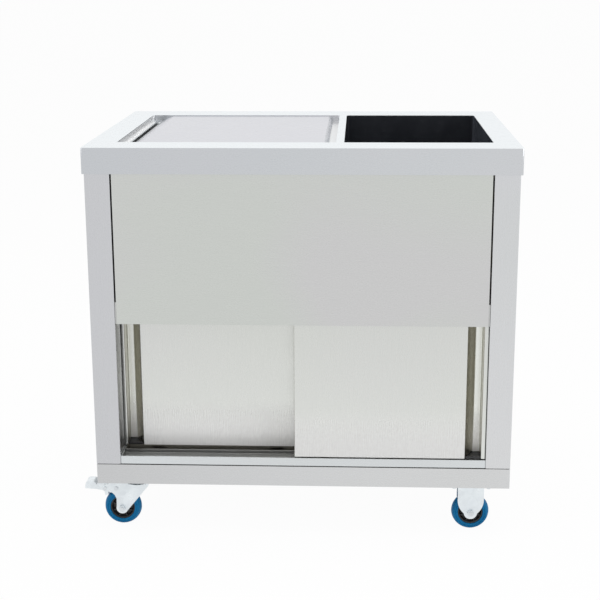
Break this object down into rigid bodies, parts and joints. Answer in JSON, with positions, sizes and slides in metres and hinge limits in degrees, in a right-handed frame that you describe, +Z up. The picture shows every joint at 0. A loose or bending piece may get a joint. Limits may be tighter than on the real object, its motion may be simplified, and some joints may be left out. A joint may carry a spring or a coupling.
{
  "type": "mobile ice cart",
  "caption": "Stainless steel cart on braked casters with a lidded ice bin, a deep black well and a cupboard with sliding doors.",
  "frame": {"origin": "on the floor, under the centre of the worktop", "axes": "+X to the right seen from the front, +Y to the back, +Z up"},
  "size_m": [0.934, 0.68, 0.85],
  "materials": {
    "worktop_steel": "fine brushed stainless sheet",
    "lid_steel": "fine brushed stainless sheet",
    "body_steel": "satin brushed stainless sheet",
    "door_steel": "satin brushed stainless sheet",
    "black_liner": "gloss black moulded plastic",
    "foam": "closed-cell foam",
    "wheel_centre": "near-black moulded plastic",
    "black_moulding": "black moulded plastic",
    "blue_tyre": "smooth blue rubber",
    "lever_red": "dipped red lever",
    "valve_metal": "nickel-plated brass",
    "nylon": "natural nylon",
    "track_aluminium": "drawn aluminium",
    "zinc_plate": "bright zinc plating",
    "bolt_steel": "zinc-plated steel"
  },
  "bodies": {
    "cabinet": {"worktop": "worktop_steel", "ice_bin": "body_steel", "well_liner": "black_liner", "insulation": "foam", "ceiling_pan": "body_steel", "floor_pan": "body_steel", "post_front_left": "body_steel", "post_front_right": "body_steel", "post_rear_left": "body_steel", "post_rear_right": "body_steel", "front_panel": "body_steel", "back_panel": "body_steel", "left_panel": "body_steel", "right_panel": "body_steel", "top_track": "body_steel", "bottom_tracks": "track_aluminium", "track_stops": "nylon", "plinth_frame": "body_steel", "drain_strainers": "body_steel", "bin_outlet": "body_steel", "well_outlet": "body_steel", "bin_valve": "valve_metal", "well_valve": "valve_metal", "caster_fl_plate": "zinc_plate", "caster_fl_race": "bolt_steel", "caster_rl_plate": "zinc_plate", "caster_rl_race": "bolt_steel", "caster_fr_fork": "zinc_plate", "caster_rr_fork": "zinc_plate", "rigid_axles": "bolt_steel", "caster_bolts": "bolt_steel"},
    "front_door": {"front_door_skin": "door_steel", "front_door_back": "door_steel", "front_door_hangers": "zinc_plate", "front_door_guides": "black_moulding"},
    "rear_door": {"rear_door_skin": "door_steel", "rear_door_back": "door_steel", "rear_door_hangers": "zinc_plate", "rear_door_guides": "black_moulding"},
    "lid": {"lid": "lid_steel"},
    "bin_valve_lever": {"bin_valve_lever": "lever_red"},
    "well_valve_lever": {"well_valve_lever": "lever_red"},
    "front_roller_left": {"front_door_roller_left": "nylon"},
    "front_roller_right": {"front_door_roller_right": "nylon"},
    "rear_roller_left": {"rear_door_roller_left": "nylon"},
    "rear_roller_right": {"rear_door_roller_right": "nylon"},
    "fork_fl": {"caster_fl_fork": "zinc_plate", "caster_fl_pins": "bolt_steel"},
    "pedal_fl": {"caster_fl_pedal": "zinc_plate"},
    "fork_rl": {"caster_rl_fork": "zinc_plate", "caster_rl_pins": "bolt_steel"},
    "pedal_rl": {"caster_rl_pedal": "zinc_plate"},
    "wheel_fl": {"caster_fl_hub": "wheel_centre", "caster_fl_tyre": "blue_tyre"},
    "wheel_rl": {"caster_rl_hub": "wheel_centre", "caster_rl_tyre": "blue_tyre"},
    "wheel_fr": {"caster_fr_hub": "wheel_centre", "caster_fr_tyre": "blue_tyre"},
    "wheel_rr": {"caster_rr_hub": "wheel_centre", "caster_rr_tyre": "blue_tyre"}
  },
  "joints": [
    {"name": "front_door_slide", "type": "slide", "parent": "cabinet", "child": "front_door", "axis": [-1, 0, 0], "range_m": [0, 0.3755]},
    {"name": "rear_door_slide", "type": "slide", "parent": "cabinet", "child": "rear_door", "axis": [1, 0, 0], "range_m": [0, 0.385]},
    {"name": "lid_lift", "type": "slide", "parent": "cabinet", "child": "lid", "axis": [0, 0, 1], "range_m": [0, 0.3]},
    {"name": "front_roller_left_spin", "type": "hinge", "parent": "front_door", "child": "front_roller_left", "pos_m": [0.0555, -0.3065, 0.5101], "axis": [0, 1, 0], "continuous": true},
    {"name": "front_roller_right_spin", "type": "hinge", "parent": "front_door", "child": "front_roller_right", "pos_m": [0.3204, -0.3065, 0.5101], "axis": [0, 1, 0], "continuous": true},
    {"name": "rear_roller_left_spin", "type": "hinge", "parent": "rear_door", "child": "rear_roller_left", "pos_m": [-0.325, -0.244, 0.5101], "axis": [0, 1, 0], "continuous": true},
    {"name": "rear_roller_right_spin", "type": "hinge", "parent": "rear_door", "child": "rear_roller_right", "pos_m": [-0.0601, -0.244, 0.5101], "axis": [0, 1, 0], "continuous": true},
    {"name": "bin_valve_turn", "type": "hinge", "parent": "cabinet", "child": "bin_valve_lever", "pos_m": [-0.16, 0.12, 0.478], "axis": [0, 1, 0], "range_deg": [0, 90]},
    {"name": "well_valve_turn", "type": "hinge", "parent": "cabinet", "child": "well_valve_lever", "pos_m": [0.242, 0.12, 0.478], "axis": [0, 1, 0], "range_deg": [0, 90]},
    {"name": "swivel_fl", "type": "hinge", "parent": "cabinet", "child": "fork_fl", "pos_m": [-0.368, -0.276, 0.0975], "axis": [0, 0, 1], "continuous": true},
    {"name": "wheel_fl_spin", "type": "hinge", "parent": "fork_fl", "child": "wheel_fl", "pos_m": [-0.402, -0.276, 0.041], "axis": [0, 1, 0], "continuous": true},
    {"name": "brake_fl", "type": "hinge", "parent": "fork_fl", "child": "pedal_fl", "pos_m": [-0.439, -0.276, 0.087], "axis": [0, -1, 0], "range_deg": [0, 20]},
    {"name": "swivel_rl", "type": "hinge", "parent": "cabinet", "child": "fork_rl", "pos_m": [-0.368, 0.276, 0.0975], "axis": [0, 0, 1], "continuous": true},
    {"name": "wheel_rl_spin", "type": "hinge", "parent": "fork_rl", "child": "wheel_rl", "pos_m": [-0.402, 0.276, 0.041], "axis": [0, 1, 0], "continuous": true},
    {"name": "brake_rl", "type": "hinge", "parent": "fork_rl", "child": "pedal_rl", "pos_m": [-0.439, 0.276, 0.087], "axis": [0, -1, 0], "range_deg": [0, 20]},
    {"name": "wheel_fr_spin", "type": "hinge", "parent": "cabinet", "child": "wheel_fr", "pos_m": [0.368, -0.276, 0.041], "axis": [0, 1, 0], "continuous": true},
    {"name": "wheel_rr_spin", "type": "hinge", "parent": "cabinet", "child": "wheel_rr", "pos_m": [0.368, 0.276, 0.041], "axis": [0, 1, 0], "continuous": true}
  ],
  "couplings": [
    {"joint": "front_roller_left_spin", "follows": "front_door_slide", "rad_per_m": -100},
    {"joint": "front_roller_right_spin", "follows": "front_door_slide", "rad_per_m": -100},
    {"joint": "rear_roller_left_spin", "follows": "rear_door_slide", "rad_per_m": 100},
    {"joint": "rear_roller_right_spin", "follows": "rear_door_slide", "rad_per_m": 100}
  ]
}
